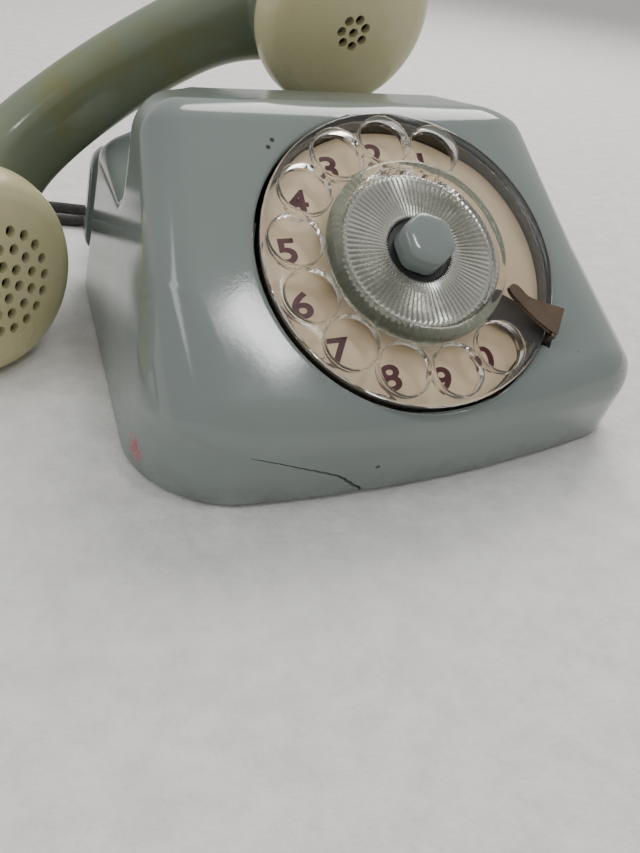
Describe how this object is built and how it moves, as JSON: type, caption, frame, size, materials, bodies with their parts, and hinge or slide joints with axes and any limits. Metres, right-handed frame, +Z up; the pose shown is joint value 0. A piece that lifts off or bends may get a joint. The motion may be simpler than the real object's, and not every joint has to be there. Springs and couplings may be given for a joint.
{
  "type": "corded landline phone",
  "caption": "Rotary desk telephone with a sloping dial face, a cradle across its top and its handset lying off the hook on its corded lead.",
  "frame": {"origin": "middle of the footprint on the table, measured without the cords", "axes": "+X to the user's right, +Y to the back of the telephone, +Z up"},
  "size_m": [0.2575, 0.2938, 0.121],
  "materials": {
    "shell_grey": "glossy moulded plastic, lightly scuffed",
    "handle_green": "glossy moulded plastic, yellowed in places",
    "cap_cream": "glossy moulded plastic, yellowed",
    "plate_cream": "satin printed plate",
    "clear_plastic": "clear, polished, faintly yellow",
    "stop_metal": "brown-grey, worn",
    "steel": "zinc plated",
    "brass": "satin",
    "copper_wire": "enamelled winding",
    "black_plastic": "satin",
    "board_brown": "resin board",
    "rubber": "matt",
    "cord_dark": "matt, slightly rough"
  },
  "bodies": {
    "base": {"housing": "shell_grey", "rear_cover": "shell_grey", "base_plate": "steel", "foot_1": "rubber", "foot_2": "rubber", "foot_3": "rubber", "foot_4": "rubber", "base_screw_1": "steel", "base_screw_2": "steel", "gong_left": "brass", "gong_right": "brass", "ringer_coil_left": "copper_wire", "ringer_coil_right": "copper_wire", "ringer_yoke": "steel", "circuit_board": "board_brown", "capacitor": "black_plastic", "induction_coil": "copper_wire", "terminal_block": "black_plastic", "hook_bracket": "steel", "hook_contacts": "brass", "number_plate": "plate_cream", "dial_chassis": "black_plastic", "shaft_bearing": "brass", "return_spring": "steel", "finger_stop": "stop_metal", "governor_cup": "steel", "mechanism_bridge": "steel", "pulse_contacts": "brass", "handset_cord_relief": "rubber", "line_cord_relief": "rubber", "handset_cord_start": "cord_dark", "handset_cord_finish": "cord_dark", "handset_cord_coil": "cord_dark", "handset_cord_tie": "black_plastic", "line_cord_start": "cord_dark", "line_cord_finish": "cord_dark", "line_cord_coil": "cord_dark", "line_cord_tie": "black_plastic", "line_plug": "black_plastic"},
    "dial": {"finger_wheel": "clear_plastic", "fluted_disc": "shell_grey", "hub_knob": "shell_grey", "dial_shaft": "steel", "main_gear": "brass"},
    "pulse_train": {"pulse_pinion": "steel", "governor_wheel": "brass", "pulse_cam": "black_plastic"},
    "governor": {"governor": "brass"},
    "hook": {"hook_bar": "steel", "hook_plunger_left": "black_plastic", "hook_plunger_right": "black_plastic"},
    "hook_lever": {"hook_lever": "steel"},
    "clapper": {"clapper": "steel"},
    "handset": {"handset_handle": "handle_green", "ear_cap": "cap_cream", "mouth_cap": "cap_cream", "receiver_capsule": "steel", "transmitter_capsule": "black_plastic", "handset_cord_bush": "rubber"}
  },
  "joints": [
    {"name": "dial_spin", "type": "hinge", "parent": "base", "child": "dial", "pos_m": [0.03389, -0.04533, 0.0525], "axis": [0, -0.6157, 0.788], "range_deg": [-320, 0], "stiffness_Nm_per_rad": 0.01, "springref_deg": 57.3},
    {"name": "pulse_train_spin", "type": "hinge", "parent": "base", "child": "pulse_train", "pos_m": [0.01134, -0.03391, 0.06142], "axis": [0, -0.6157, 0.788], "range_deg": [0, 1490]},
    {"name": "governor_spin", "type": "hinge", "parent": "base", "child": "governor", "pos_m": [0.00872, -0.04362, 0.05383], "axis": [0, -0.6157, 0.788], "range_deg": [-3724, 0]},
    {"name": "hook_press", "type": "slide", "parent": "base", "child": "hook", "axis": [0, 0, -1], "range_m": [0, 0.005], "stiffness_N_per_m": 150, "springref_m": -0.008},
    {"name": "hook_lever_tilt", "type": "hinge", "parent": "base", "child": "hook_lever", "pos_m": [0.03389, 0.04967, 0.034], "axis": [1, 0, 0], "range_deg": [0, 20]},
    {"name": "clapper_swing", "type": "hinge", "parent": "base", "child": "clapper", "pos_m": [0.03389, 0.01147, 0.014], "axis": [0, 0, 1], "range_deg": [-6, 6]},
    {"name": "handset_lift", "type": "slide", "parent": "base", "child": "handset", "axis": [0, 0, 1], "range_m": [0, 0.12]}
  ],
  "couplings": [
    {"joint": "pulse_train_spin", "follows": "dial_spin", "ratio": -4.5833},
    {"joint": "governor_spin", "follows": "dial_spin", "ratio": 11.458},
    {"joint": "hook_lever_tilt", "follows": "hook_press", "rad_per_m": 69}
  ]
}
